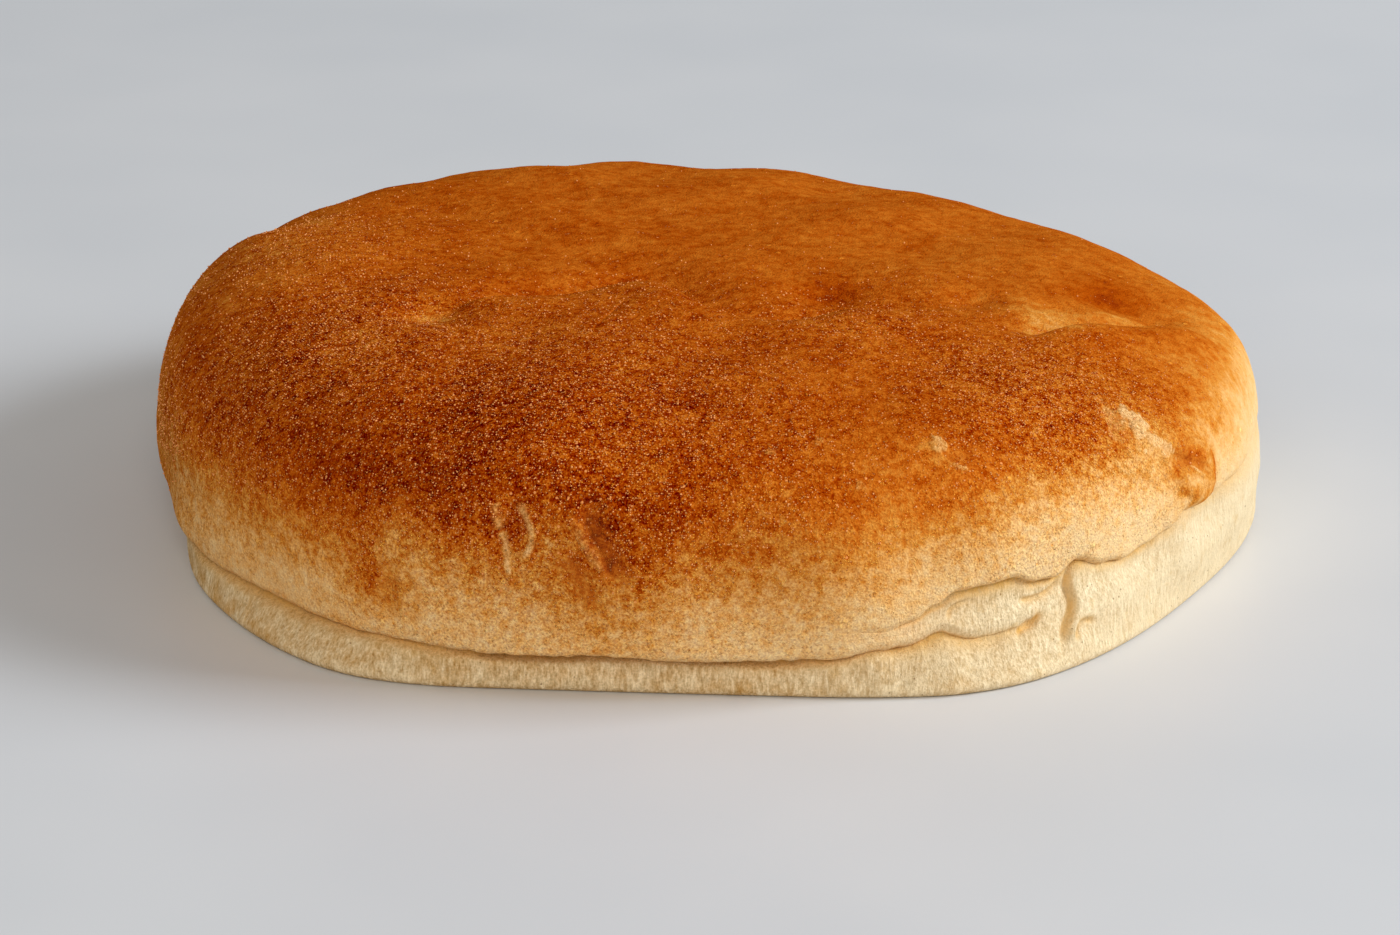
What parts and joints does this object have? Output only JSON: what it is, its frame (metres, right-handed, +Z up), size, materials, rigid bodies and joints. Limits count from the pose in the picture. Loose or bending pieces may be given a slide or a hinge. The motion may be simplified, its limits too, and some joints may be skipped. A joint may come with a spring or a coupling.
{
  "type": "pan pizza base",
  "caption": "Plain round pan pizza base: a baked flat loaf with a browned, softly dented crust over a low pale wall.",
  "frame": {"origin": "centre of the bounding box, at the flat underside", "axes": "+Z up through the top crust, +X to the right of the bread seen from its front, front towards -Y"},
  "size_m": [0.1652, 0.1566, 0.0397],
  "materials": {
    "crust": "browned bread crust, dry and lightly floured"
  },
  "bodies": {
    "root": {"pan_pizza_base": "crust"}
  },
  "joints": []
}
